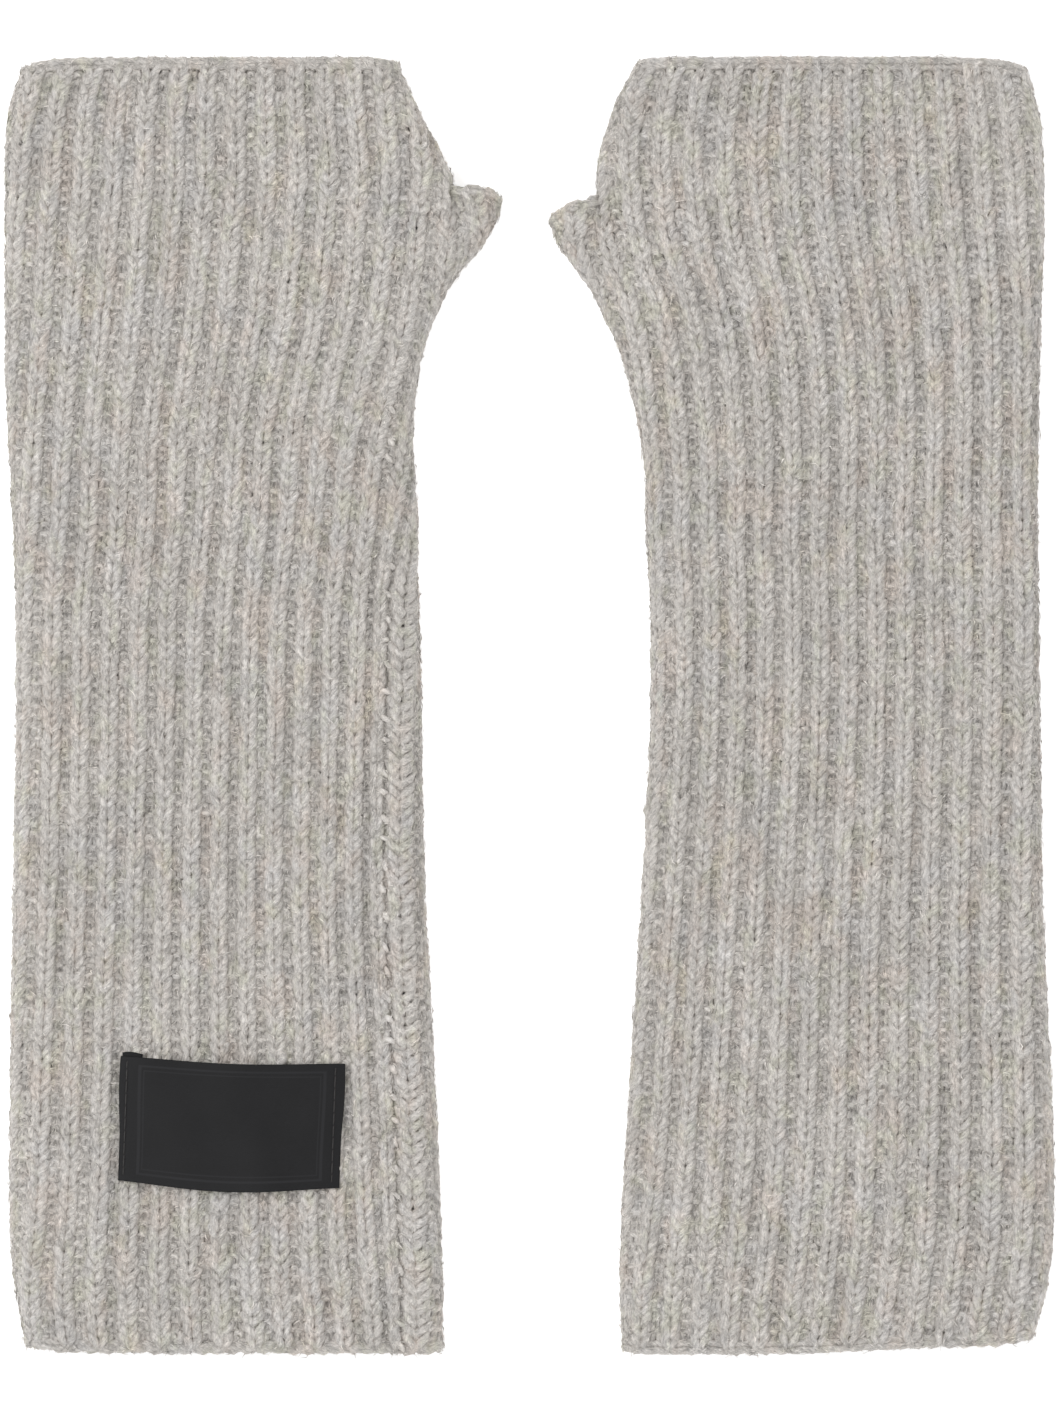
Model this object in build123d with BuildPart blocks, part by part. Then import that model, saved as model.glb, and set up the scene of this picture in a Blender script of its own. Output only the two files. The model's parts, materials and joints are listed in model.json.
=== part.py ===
"""A pair of long rib-knit fingerless gloves, lying flat side by side.

Frame: +X to the right glove, +Y from the cuffs to the fingers, +Z up.
The origin is on the table, in the middle of the pair. Millimetres.

Each glove is one knitted sleeve. It is modelled as three sections, because the sleeve folds at the wrist and
the thumb stub folds at its root: forearm, hand and thumb. The side seam yarn, the sewn-on label, its stitching
and the care label are pieces of their own.
"""

import math
import os

from build123d import *

# Driving dimensions
LENGTH = 320.0  # finger edge to cuff edge
CUFF_Y = -LENGTH / 2
FINGER_Y = LENGTH / 2
PAIR_WIDTH = 258.8  # outermost edge to outermost edge of the pair
THICKNESS = 13.0  # two layers of knit with the air between them
WALL = 3.6  # one layer of rib knit
WRIST_Y = 44.0  # the line where the sleeve folds
HINGE_GAP = 1.0  # free space between the forearm and the hand section at the fold
FOREARM_TOP_Y = WRIST_Y - HINGE_GAP / 2
HAND_LOW_Y = WRIST_Y + HINGE_GAP / 2
EDGE_ROUND = 6.2  # the folded edges of the sleeve, outside
CORE_ROUND = 2.6  # and inside
END_OVERRUN = 1.0  # the hollow runs past each end of its section

# Thumb stub
THUMB_ROOT = 111.3  # distance of the thumb's fold line from the glove's outermost edge
THUMB_THICKNESS = 10.4
THUMB_WALL = 2.7
THUMB_EDGE_ROUND = 2.5
PASSAGE_HEIGHT = 5.0

# Side seam: short bars of linking yarn across the seam line
SEAM_PITCH = 6.2
SEAM_BAR_RADIUS = 0.7
SEAM_BAR_LENGTH = 2.6
SEAM_SUNK = 0.4  # how far a bar's axis lies below the surface of the knit

# Sewn-on label
LABEL_WIDTH = 54.0
LABEL_HEIGHT = 30.0
LABEL_THICKNESS = 0.45
LABEL_ARCH = 1.6  # how far its middle stands off the knit
LABEL_TAB = 6.0  # width of the end folded under
TAB_THICKNESS = 0.7
LABEL_TAB_SHIFT = 1.2  # the left tab is folded slightly askew, and shows above the top edge
LABEL_CENTRE = (55.9, -102.2)  # from the glove's outermost edge, and in Y
LABEL_TILT = 2.0  # degrees clockwise
STITCH_COUNT = 9
STITCH_LENGTH = 2.0
STITCH_RADIUS = 0.22
STITCH_INSET = 1.4
STITCH_Z = 1.1  # height of the thread above the knit

# Care label, inside the left cuff
CARE_WIDTH = 20.0
CARE_HEIGHT = 32.0
CARE_THICKNESS = 0.4
CARE_CORNER = 1.0
CARE_GAP = 0.05
CARE_CENTRE = (84.0, -140.0)

# Sections of each sleeve: height, outer edge and thumb-side edge, both from the glove's outermost edge.
# At the thumb, the sleeve runs on past the fold line, where it is cut off.
LEFT_FOREARM = [
    (CUFF_Y, 5.4, 108.6),
    (-142, 2.5, 108.3),
    (-102, 1.6, 106.9),
    (-43, 2.3, 103.9),
    (16, 2.9, 102.9),
    (FOREARM_TOP_Y, 2.3, 102.4),
]
LEFT_HAND = [
    (HAND_LOW_Y, 2.3, 102.4),
    (75, 0.8, 101.5),
    (91, 0.2, 104.5),
    (104, 0.1, 110.6),
    (118, 0.1, 115.0),
    (129, 0.3, 111.2),
    (146, 1.0, 103.2),
    (FINGER_Y, 5.0, 96.8),
]
RIGHT_FOREARM = [
    (CUFF_Y, 5.6, 106.4),
    (-142, 1.3, 107.1),
    (-112, 0.0, 105.8),
    (-63, 2.2, 102.9),
    (6, 3.5, 99.6),
    (FOREARM_TOP_Y, 3.9, 100.8),
]
RIGHT_HAND = [
    (HAND_LOW_Y, 3.9, 100.8),
    (75, 3.7, 103.8),
    (90, 3.3, 108.2),
    (104, 2.9, 114.0),
    (118, 2.5, 115.5),
    (128, 2.5, 112.6),
    (145, 3.3, 109.4),
    (FINGER_Y, 7.4, 101.4),
]
# Thumb stubs, from the fold line: up to the crotch, along the mouth, round the tip and back down the lower edge
LEFT_THUMB = [(0.5, 127.6), (6.0, 128.0), (9.6, 126.4), (11.7, 122.3), (6.9, 113.1), (0.5, 105.2)]
RIGHT_THUMB = [(0.5, 126.4), (6.2, 124.6), (10.6, 122.6), (13.4, 119.0), (9.1, 111.4), (0.5, 98.0)]

# Side seam line: how far in from the thumb-side edge it runs, and its ends
SEAM_INSET = 10.4
SEAM_INSET_AT_WRIST = 6.4
SEAM_SWING = 4  # power by which the inset changes towards the wrist, slowly at first
SEAM_LOW_Y = -157.5
SEAM_TOP_Y = 76.0
SEAM_BREAK = 4.0  # no bar this near to the wrist fold
UPPER_SEAM_LOW_Y = 134.0  # above the thumb the seam closes the sleeve again, on the underside
UPPER_SEAM_TOP_Y = 157.0

HALF_WIDTH = PAIR_WIDTH / 2
MID_Z = THICKNESS / 2


def sleeve_x(side, distance):
    """X of a point at a distance from a glove's outermost edge. side is -1 for the left glove, 1 for the right."""
    return side * (HALF_WIDTH - distance)


def edge_at(stations, y, column):
    """The outer (1) or thumb-side (2) edge at height y, between the two nearest stations."""
    for low, high in zip(stations, stations[1:]):
        if low[0] <= y <= high[0]:
            share = (y - low[0]) / (high[0] - low[0])
            return low[column] + share * (high[column] - low[column])
    return stations[-1][column] if y > stations[-1][0] else stations[0][column]


def sleeve_plan(side, stations, inset, overrun):
    """The sleeve's outline seen from above, inset at both edges and run past both ends."""
    low, high = stations[0], stations[-1]
    heights = [low[0] - overrun] + [s[0] for s in stations[1:-1]] + [high[0] + overrun]
    outer = [(sleeve_x(side, s[1] + inset), y) for s, y in zip(stations, heights)]
    thumb = [(sleeve_x(side, s[2] - inset), y) for s, y in zip(stations, heights)]
    with BuildSketch() as plan:
        with BuildLine():
            Spline(*outer)
            Line(outer[-1], thumb[-1])
            Spline(*thumb)
            Line(thumb[0], outer[0])
        make_face()
    return plan.face()


def sleeve_core(side, stations):
    """The air inside a sleeve, open at both ends."""
    with BuildPart() as core:
        extrude(sleeve_plan(side, stations, WALL, END_OVERRUN), amount=THICKNESS - 2 * WALL)
        fillet(core.edges().filter_by(GeomType.BSPLINE), CORE_ROUND)
    return core.part.moved(Location((0, 0, WALL)))


def forearm_tube(name, side, stations):
    """The forearm section: a flattened tube, open at both ends."""
    core = sleeve_core(side, stations)
    with BuildPart() as tube:
        extrude(sleeve_plan(side, stations, 0, 0), amount=THICKNESS)
        fillet(tube.edges().filter_by(GeomType.BSPLINE), EDGE_ROUND)
        add(core, mode=Mode.SUBTRACT)
    tube.part.label = name
    export_step(tube.part, f"parts/{name}.step")


def hand_tube(name, side, stations, thumb_outline):
    """The hand section, cut square at the thumb's fold line, with the passage into the thumb stub."""
    passage_high = thumb_outline[0][1] - WALL
    passage_low = thumb_outline[-1][1] + 2 * WALL
    fold_x = sleeve_x(side, THUMB_ROOT)
    core = sleeve_core(side, stations)
    with BuildPart() as hand:
        extrude(sleeve_plan(side, stations, 0, 0), amount=THICKNESS)
        fillet(hand.edges().filter_by(GeomType.BSPLINE), EDGE_ROUND)
        add(core, mode=Mode.SUBTRACT)
        split(bisect_by=Plane(origin=(fold_x, 0, 0), z_dir=(side, 0, 0)), keep=Keep.TOP)
        with Locations((fold_x, (passage_low + passage_high) / 2, MID_Z)):
            Box(4 * WALL, passage_high - passage_low, PASSAGE_HEIGHT, mode=Mode.SUBTRACT)
    hand.part.label = name
    export_step(hand.part, f"parts/{name}.step")


def thumb_stub(name, side, outline):
    """The short thumb: two layers joined along the outer edge, open at the mouth and towards the hand."""
    root_x = sleeve_x(side, THUMB_ROOT)
    points = [(root_x - side * u, y) for u, y in outline]
    low_z = (THICKNESS - THUMB_THICKNESS) / 2
    mouth_y = outline[1][1] + 1
    tip_u, tip_y = outline[3]
    low_u, low_y = outline[4]
    cavity = [
        (-1, mouth_y),
        (tip_u - THUMB_WALL, mouth_y),
        (tip_u - THUMB_WALL, tip_y),
        (low_u - THUMB_WALL, low_y),
        (-1, outline[5][1] + 2 * WALL),
    ]
    with BuildPart() as thumb:
        with BuildSketch(Plane.XY.offset(low_z)):
            with BuildLine():
                Spline(*points)
                Line(points[-1], points[0])
            make_face()
        extrude(amount=THUMB_THICKNESS)
        round_edges = thumb.edges().filter_by(GeomType.BSPLINE)
        fillet(round_edges, THUMB_EDGE_ROUND)
        with BuildSketch(Plane.XY.offset(MID_Z - PASSAGE_HEIGHT / 2)):
            with BuildLine():
                Polyline(*[(root_x - side * u, y) for u, y in cavity], close=True)
            make_face()
        extrude(amount=PASSAGE_HEIGHT, mode=Mode.SUBTRACT)
    thumb.part.label = name
    export_step(thumb.part, f"parts/{name}.step")


def seam_bars(name, side, stations, low_y, high_y, on_top):
    """The linking yarn of a side seam: a row of short bars lying across the seam line, sunk into the knit."""
    axis_z = THICKNESS - SEAM_SUNK if on_top else SEAM_BAR_RADIUS + SEAM_SUNK
    count = int((high_y - low_y) / SEAM_PITCH)
    places = []
    for i in range(count + 1):
        y = low_y + i * SEAM_PITCH
        towards_wrist = min(1, (y - CUFF_Y) / (WRIST_Y - CUFF_Y)) ** SEAM_SWING
        inset = SEAM_INSET + (SEAM_INSET_AT_WRIST - SEAM_INSET) * towards_wrist
        places.append((sleeve_x(side, edge_at(stations, y, 2) - inset), y, axis_z))
    with BuildPart() as bars:
        with Locations(*places):
            Cylinder(SEAM_BAR_RADIUS, SEAM_BAR_LENGTH, rotation=(0, 90, 0))
    bars.part.label = name
    export_step(bars.part, f"parts/{name}.step")


def label_plane():
    """The plane of the sewn-on label, on the left forearm, turned by its tilt. Its X runs along the label."""
    x, y = sleeve_x(-1, LABEL_CENTRE[0]), LABEL_CENTRE[1]
    tilt = math.radians(LABEL_TILT)
    return Plane(origin=(x, y, THICKNESS), x_dir=(math.cos(tilt), -math.sin(tilt), 0), z_dir=(0, 0, 1))


def sewn_label():
    """A satin label with both short ends folded under. Its middle arches off the knit between the two ends."""
    plane = label_plane()
    side_view = Plane(origin=plane.origin, x_dir=plane.x_dir, z_dir=-plane.y_dir)
    end_x = LABEL_WIDTH / 2
    low_z = LABEL_THICKNESS
    with BuildPart() as label:
        with BuildSketch(side_view):
            with BuildLine():
                ThreePointArc((-end_x, low_z), (0, low_z + LABEL_ARCH), (end_x, low_z))
                Line((end_x, low_z), (end_x, low_z + LABEL_THICKNESS))
                ThreePointArc(
                    (end_x, low_z + LABEL_THICKNESS),
                    (0, low_z + LABEL_ARCH + LABEL_THICKNESS),
                    (-end_x, low_z + LABEL_THICKNESS),
                )
                Line((-end_x, low_z + LABEL_THICKNESS), (-end_x, low_z))
            make_face()
        extrude(amount=LABEL_HEIGHT / 2, both=True)
        with BuildSketch(plane):
            with Locations((LABEL_TAB / 2 - end_x, LABEL_TAB_SHIFT), (end_x - LABEL_TAB / 2, 0)):
                Rectangle(LABEL_TAB, LABEL_HEIGHT)
        extrude(amount=TAB_THICKNESS)
    label.part.label = "sewn_label"
    export_step(label.part, "parts/sewn_label.step")


def label_stitching(name, end):
    """The row of sewing thread down one short end of the label."""
    pitch = (LABEL_HEIGHT - 2 * STITCH_INSET) / STITCH_COUNT
    with BuildPart(label_plane()) as row:
        with Locations((end * (LABEL_WIDTH / 2 - STITCH_INSET), 0, STITCH_Z)):
            with GridLocations(pitch, pitch, 1, STITCH_COUNT):
                Cylinder(STITCH_RADIUS, STITCH_LENGTH, rotation=(90, 0, 0))
    row.part.label = name
    export_step(row.part, f"parts/{name}.step")


def care_label():
    """The blank care label inside the left cuff, just under the upper layer."""
    with BuildPart() as care:
        with BuildSketch(Plane.XY.offset(THICKNESS - WALL - CARE_THICKNESS - CARE_GAP)):
            with Locations((sleeve_x(-1, CARE_CENTRE[0]), CARE_CENTRE[1])):
                RectangleRounded(CARE_WIDTH, CARE_HEIGHT, CARE_CORNER)
        extrude(amount=CARE_THICKNESS)
    care.part.label = "care_label"
    export_step(care.part, "parts/care_label.step")


os.makedirs("parts", exist_ok=True)

forearm_tube("left_forearm_knit", -1, LEFT_FOREARM)
hand_tube("left_hand_knit", -1, LEFT_HAND, LEFT_THUMB)
thumb_stub("left_thumb_knit", -1, LEFT_THUMB)
seam_bars("left_forearm_seam_yarn", -1, LEFT_FOREARM, SEAM_LOW_Y, WRIST_Y - SEAM_BREAK, on_top=True)
seam_bars("left_hand_seam_yarn", -1, LEFT_HAND, WRIST_Y + SEAM_BREAK, SEAM_TOP_Y, on_top=True)
seam_bars("left_upper_seam_yarn", -1, LEFT_HAND, UPPER_SEAM_LOW_Y, UPPER_SEAM_TOP_Y, on_top=False)

sewn_label()
label_stitching("label_stitching_left", -1)
label_stitching("label_stitching_right", 1)
care_label()

forearm_tube("right_forearm_knit", 1, RIGHT_FOREARM)
hand_tube("right_hand_knit", 1, RIGHT_HAND, RIGHT_THUMB)
thumb_stub("right_thumb_knit", 1, RIGHT_THUMB)
seam_bars("right_forearm_seam_yarn", 1, RIGHT_FOREARM, SEAM_LOW_Y, WRIST_Y - SEAM_BREAK, on_top=False)
seam_bars("right_hand_seam_yarn", 1, RIGHT_HAND, WRIST_Y + SEAM_BREAK, SEAM_TOP_Y, on_top=False)
seam_bars("right_upper_seam_yarn", 1, RIGHT_HAND, UPPER_SEAM_LOW_Y, UPPER_SEAM_TOP_Y, on_top=False)
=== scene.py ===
"""Looks of the fingerless gloves: every yarn loop of the rib knit, its fibres, the seam yarn, the rims of the
openings, and the labels."""
import json
import math

import bpy
import numpy as np
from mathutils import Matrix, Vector


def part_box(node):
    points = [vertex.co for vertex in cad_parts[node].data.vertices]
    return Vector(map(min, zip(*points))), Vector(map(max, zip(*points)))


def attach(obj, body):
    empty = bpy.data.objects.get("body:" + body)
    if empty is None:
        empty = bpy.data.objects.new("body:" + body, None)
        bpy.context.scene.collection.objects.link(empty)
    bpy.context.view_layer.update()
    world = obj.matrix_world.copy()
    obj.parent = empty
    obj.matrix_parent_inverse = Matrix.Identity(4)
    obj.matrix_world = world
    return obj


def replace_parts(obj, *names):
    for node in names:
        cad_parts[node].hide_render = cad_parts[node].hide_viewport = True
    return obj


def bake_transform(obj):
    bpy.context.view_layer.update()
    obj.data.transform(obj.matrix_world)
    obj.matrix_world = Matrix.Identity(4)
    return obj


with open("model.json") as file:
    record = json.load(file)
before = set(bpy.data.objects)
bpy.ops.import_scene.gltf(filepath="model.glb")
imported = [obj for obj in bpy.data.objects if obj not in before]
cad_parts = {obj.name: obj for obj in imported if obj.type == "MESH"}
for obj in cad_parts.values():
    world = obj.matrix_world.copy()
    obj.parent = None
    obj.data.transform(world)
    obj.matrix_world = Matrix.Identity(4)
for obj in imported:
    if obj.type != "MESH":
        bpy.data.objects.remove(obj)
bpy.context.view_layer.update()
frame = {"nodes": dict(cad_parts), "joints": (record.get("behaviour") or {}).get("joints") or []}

# Lengths in this script are in millimetres until a mesh is made, and MM turns them into metres.
MM = 0.001

# The rib knit. A wale is one column of stitches. Odd numbers are the middles of knit columns, which stand
# proud, and even numbers those of purl columns, which lie back. They count from the outer fold over the top.
RING_WALES = 62
KNIT_WIDE = 1.14  # a knit column's width, in wales. A purl column has the rest of the two
CROTCH_WALE = 27 + KNIT_WIDE / 2  # the edge of the knit column where the thumb's mouth starts on the top face
THUMB_WALES = 6  # how many end at the thumb's mouth
MOUTH_END = CROTCH_WALE + THUMB_WALES  # the edge where it ends on the underside
NET_POINTS = 4  # places of the surface that are worked out, per wale
COURSE = 2.65  # height of one row of stitches
LOOP_RISE = 0.98  # how far a loop's head and foot reach above and below its row, in rows
LOOP_LEAN = 1.12  # how far a loop's legs open upwards into a V
LOOP_DEPTH = 0.41  # half of how far a leg stands in front of a head
FOLD_PRESS = 0.45  # how much of that is left at the folds, where the cloth is drawn over the edge
YARN_WIDE = 0.97  # the yarn's radius across the cloth
YARN_DEEP = 0.95  # and through it
YARN_SWELL = 0.15  # how much thicker a leg is than a head
YARN_SIDES = 6
LOOP_STEPS = 11
FLAT_BELOW = 0.5  # the yarn that rests on the table is pressed flat below this height
PURL_HEAD_PAINTED_LIGHT = 0.35  # painted highlight: in purl columns the heads lie in front and are coloured paler than the yarn on the whole, and painted shade: the legs behind them are coloured dark, which shows as a short dash in each row
PURL_LEG_PAINTED_SHADE = -1.0  # and the legs behind them are dark, which shows as a short dash in each row
UNEVEN = 0.085  # how much one loop differs from the next
LUMPY = 0.07  # how much the yarn's radius varies from point to point
WALE_PITCH = 3.6  # about how wide a wale is
OUTER_GATHER = 0.07  # how much wider than the mean the forearm's ribs are at the outer fold
GATHER_ENDS = (40, 75)  # heights between which that dies away
WAVY = 0.35  # how far the top face waves up and down
WAVE_REACH = 24

# Where the ribs lie: height, the wale at the outer fold, and the wale at the thumb-side fold
LEFT_RIBS = (
    (-150, 1.9, 30.2),
    (-125, 0.8, 30.9),
    (-48, 0.1, 31.0),
    (26, 0.0, 30.2),
    (45, -0.6, 29.3),
    (62, -1.1, 28.2),
    (75, -1.5, 27.3),
    (93, -1.9, 26.7),
    (106, -2.1, 28.2),
    (122, -2.3, 30.9),
    (142, -2.7, 30.9),
)
RIGHT_RIBS = (
    (-150, -1.2, 26.8),
    (-120, -1.3, 27.6),
    (26, -0.5, 28.1),
    (75, -0.7, 28.2),
    (102, -0.8, 29.6),
    (122, -1.2, 30.6),
    (142, -1.4, 30.6),
)
# How each glove differs from its CAD outline:
# past_fold: above the thumb, how many wales per millimetre of height pass round the thumb-side fold
# slant: the share of the mouth's drop from crotch to tip that is even along it. The rest comes at the tip
# flare: how much wider the sleeve is just above the crotch
# heel: how far the heel of the thumb bulges
# cuff_rise: how far the cuff rises towards its outer corner
LEFT = {"ribs": LEFT_RIBS, "past_fold": 0.095, "slant": 0.0, "flare": 0.0, "heel": 0.0, "cuff_rise": 0.0}
RIGHT = {"ribs": RIGHT_RIBS, "past_fold": 0.04, "slant": 0.45, "flare": 1.6, "heel": 2.6, "cuff_rise": 1.5}
MOUTH_CORNER = 7.0  # how suddenly the mouth's corner turns
CROTCH_PAST_FOLD = 1.2  # how far the crotch lies beyond the thumb's fold line
CROTCH_ROWS = 1.3  # how many rows below the crotch the mouth's edge lies
DROP_REACH = 40  # how far below the crotch the slope of the mouth is felt
HEEL_BELOW = 21.5  # how far below the crotch the heel's middle is
HEEL_REACH = 6.6
FLARE_REACH = 24
THUMB_THINS = 45  # how far below the crotch the thumb starts to thin
PINCH_REACH = 16  # and the two layers to close towards each other

# The open ends: their corners are rounded by some depths, each with the distance over which it dies away.
END_REACH = 35  # how far from an end its shape is felt
OUTER_CORNER = ((2.6, 4.0), (0.6, 25.0))
INNER_CORNER = ((1.3, 2.5),)
CUFF_CORNERS = 0.75  # the cuff's corners are rounded by this share of the finger end's
CUFF_RISE_ENDS = (15, 70)  # distances from the outer edge between which the cuff's rise dies away
FINGER_DROP = 0.55  # the finger end lies this much lower all along

# The left glove's side seam runs along one purl column of the top, and spreads the knit column beside it.
SEAM_WALE = 28
SEAM_GROOVE = 1.2  # the width left to that purl column
SPREAD_WIDE = 6.0
SPREAD_ENDS = (25, 58)  # heights between which the spreading dies away

# Fibres that stand off the yarn
FIBRES_PER_WALE_ROW = 18
FIBRE_LENGTH = 2.2
FIBRE_RADIUS = 0.1
FIBRE_PALER = 0.1  # fibres are a little paler than the yarn on the whole,
FIBRE_TONES = 0.6  # and differ from one another by this much

rng = np.random.default_rng(7)


# ---------------- the frame's outlines

def mesh_arrays(node):
    """A CAD node's vertices, in millimetres, and its edges."""
    mesh = frame["nodes"][node].data
    points = np.zeros(len(mesh.vertices) * 3)
    mesh.vertices.foreach_get("co", points)
    edges = np.zeros(len(mesh.edges) * 2, int)
    mesh.edges.foreach_get("vertices", edges)
    return points.reshape(-1, 3) / MM, edges.reshape(-1, 2)


def slices(nodes, heights):
    """The least and greatest X of some CAD nodes at each height Y. Heights that no node crosses are nan."""
    low = np.full(len(heights), np.inf)
    high = np.full(len(heights), -np.inf)
    for node in nodes:
        points, edges = mesh_arrays(node)
        a, b = points[edges[:, 0]], points[edges[:, 1]]
        for i, y in enumerate(heights):
            crossing = (a[:, 1] - y) * (b[:, 1] - y) <= 0
            crossing &= np.abs(a[:, 1] - b[:, 1]) > 1e-6
            if crossing.any():
                p, q = a[crossing], b[crossing]
                x = p[:, 0] + (y - p[:, 1]) / (q[:, 1] - p[:, 1]) * (q[:, 0] - p[:, 0])
                low[i] = min(low[i], x.min())
                high[i] = max(high[i], x.max())
    low[~np.isfinite(low)] = np.nan
    high[~np.isfinite(high)] = np.nan
    return low, high


def filled(values):
    """The same row of numbers with its nan places filled in from their neighbours."""
    good = np.isfinite(values)
    return np.interp(np.arange(len(values)), np.flatnonzero(good), values[good])


def smooth(values, times=2):
    """A running mean that keeps both ends."""
    for _ in range(times):
        middle = (values[:-2] + values[1:-1] * 2 + values[2:]) / 4
        values = np.concatenate([values[:1], middle, values[-1:]])
    return values


def smoothstep(low, high, values):
    share = np.clip((values - low) / (high - low), 0, 1)
    return share * share * (3 - 2 * share)


def unit(vectors):
    return vectors / (np.linalg.norm(vectors, axis=-1, keepdims=True) + 1e-9)


def node_box(node):
    low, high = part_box(node)
    return np.array(low) / MM, np.array(high) / MM


def islands_along_y(node, gap=1.0):
    """The middles of a CAD node's separate bars, which lie one above another."""
    points = mesh_arrays(node)[0]
    points = points[np.argsort(points[:, 1])]
    cuts = np.flatnonzero(np.diff(points[:, 1]) > gap) + 1
    return [(part.min(0) + part.max(0)) / 2 for part in np.split(points, cuts)]


# ---------------- the sleeve's middle surface

class Sleeve:
    """One glove's knit as a surface. A point has a wale and a row, and the surface gives its place and its
    outward direction. Distances u are from the outermost edge of the glove, towards its thumb."""

    ARC_POINTS, FLAT_POINTS = 24, 400  # of each fold and of the flat between them

    def __init__(self, name, side, ribs, past_fold, slant, flare, heel, cuff_rise):
        self.name, self.side, self.past_fold, self.cuff_rise = name, side, past_fold, cuff_rise
        self.slant, self.flare, self.heel = slant, flare, heel
        forearm, hand, thumb = (f"{name}_{part}_knit" for part in ("forearm", "hand", "thumb"))
        self.cuff_y = node_box(forearm)[0][1]
        self.finger_y = node_box(hand)[1][1]
        self.top_z = node_box(forearm)[1][2]
        self.rows = int(round((self.finger_y - self.cuff_y - 1.0) / COURSE)) - 1
        self.row_height = (self.finger_y - self.cuff_y - 2.0) / (self.rows + 1)
        self.half = max(abs(node_box(part)[end][0]) for part in (forearm, hand) for end in (0, 1))
        self.fold_x = node_box(hand)[1][0] if side < 0 else node_box(hand)[0][0]
        self.wall = LOOP_DEPTH * 2 + YARN_DEEP
        self.fold_wall = LOOP_DEPTH * 2 * FOLD_PRESS + YARN_WIDE
        self.radius = self.top_z / 2 - self.wall
        thumb_low, thumb_high = node_box(thumb)
        self.thumb_radius = (thumb_high[2] - thumb_low[2]) / 2 - self.wall * 0.93
        self.outlines([forearm, hand], thumb)
        self.ribs = np.array(ribs, float)
        bars = np.concatenate([islands_along_y(f"{name}_{part}_seam_yarn") for part in ("forearm", "hand")])
        self.seam_on_top = bars[0][2] > self.top_z / 2
        self.seam = np.stack([self.half - np.abs(bars[:, 0]), bars[:, 1]], 1)
        self.waves = [rng.normal(size=4) * (1, 1, 1, 6) for _ in range(10)]
        self.crotch_row = round((self.crotch_y - self.row_y(0)) / self.row_height - CROTCH_ROWS)
        self.lower = self.net(True)
        self.upper = self.net(False)

    def outlines(self, sleeve_nodes, thumb):
        """The edges of the sleeve and of the thumb stub at each height."""
        heights = np.arange(self.cuff_y - 3, self.finger_y + 4, 1.0)
        inside = np.clip(heights, self.cuff_y + 0.3, self.finger_y - 0.3)
        low, high = slices(sleeve_nodes, inside)
        thumb_x = slices([thumb], heights)[0 if self.side > 0 else 1]
        low, high = smooth(filled(low)), smooth(filled(high))
        outer, inner = (low, high) if self.side < 0 else (high, low)
        self.heights = heights
        self.outer_u = self.half - np.abs(outer)
        self.inner_u = self.half - np.abs(inner)
        thumb_u = self.half - np.abs(thumb_x)
        tip = int(np.nanargmax(np.where(np.isfinite(thumb_u), thumb_u, -1)))
        self.tip_u, self.tip_y = thumb_u[tip], heights[tip]
        near = mesh_arrays(thumb)[0]
        near = near[np.abs(near[:, 0] - self.fold_x) < 1.0]
        self.crotch_y = near[:, 1].max() - 0.4
        self.crotch_u = self.half - abs(self.fold_x) + CROTCH_PAST_FOLD + self.flare
        self.droop = self.crotch_y - self.tip_y
        lower = np.isfinite(thumb_u) & (heights <= self.tip_y)
        self.thumb_u = self.inner_u.copy()
        self.thumb_u[lower] = np.maximum(self.inner_u[lower], thumb_u[lower])
        self.thumb_u[heights > self.tip_y] = self.tip_u
        self.thumb_u = smooth(self.thumb_u, 3)
        self.thumb_u += self.heel * np.exp(-((heights - self.crotch_y + HEEL_BELOW) / HEEL_REACH) ** 2)

    def drop(self, u, y):
        """How far the slope of the thumb's mouth lowers a point of the thumb."""
        past = np.clip((u - self.crotch_u) / (self.tip_u - self.crotch_u), 0, 1)
        slope = self.slant * past + (1 - self.slant) * past ** MOUTH_CORNER
        return self.droop * slope * smoothstep(self.crotch_y - DROP_REACH, self.crotch_y, y)

    def end_shift(self, u, y):
        """How far the shapes of the open ends move a point along the sleeve."""
        from_outer = np.maximum(u - np.interp(y, self.heights, self.outer_u), 0)
        from_inner = np.maximum(np.interp(y, self.heights, self.inner_u) - u, 0)
        corner = sum(deep * np.exp(-from_outer / reach) for deep, reach in OUTER_CORNER)
        corner = corner + sum(deep * np.exp(-from_inner / reach) for deep, reach in INNER_CORNER)
        finger = smoothstep(self.finger_y - END_REACH, self.finger_y, y)
        cuff = 1 - smoothstep(self.cuff_y, self.cuff_y + END_REACH, y)
        rise = self.cuff_rise * (1 - smoothstep(*CUFF_RISE_ENDS, from_outer))
        return cuff * (corner * CUFF_CORNERS + rise) - finger * (corner + FINGER_DROP)

    def thumb_edge(self, y):
        """The edge of the sleeve and thumb on the row that lies at y before it drops."""
        near, far = 0.0, self.tip_u
        for _ in range(30):
            middle = (near + far) / 2
            if np.interp(y - self.drop(middle, y), self.heights, self.thumb_u) > middle:
                near = middle
            else:
                far = middle
        return near

    def row_y(self, row):
        return self.cuff_y + 1.0 + row * self.row_height

    def uneven(self, u, y):
        """A slow unevenness over the sleeve, about 1 at most."""
        total = 0
        for kx, ky, size, phase in self.waves:
            total = total + size * np.sin((kx * u + ky * y) / WAVE_REACH + phase)
        return total / 6

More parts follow.
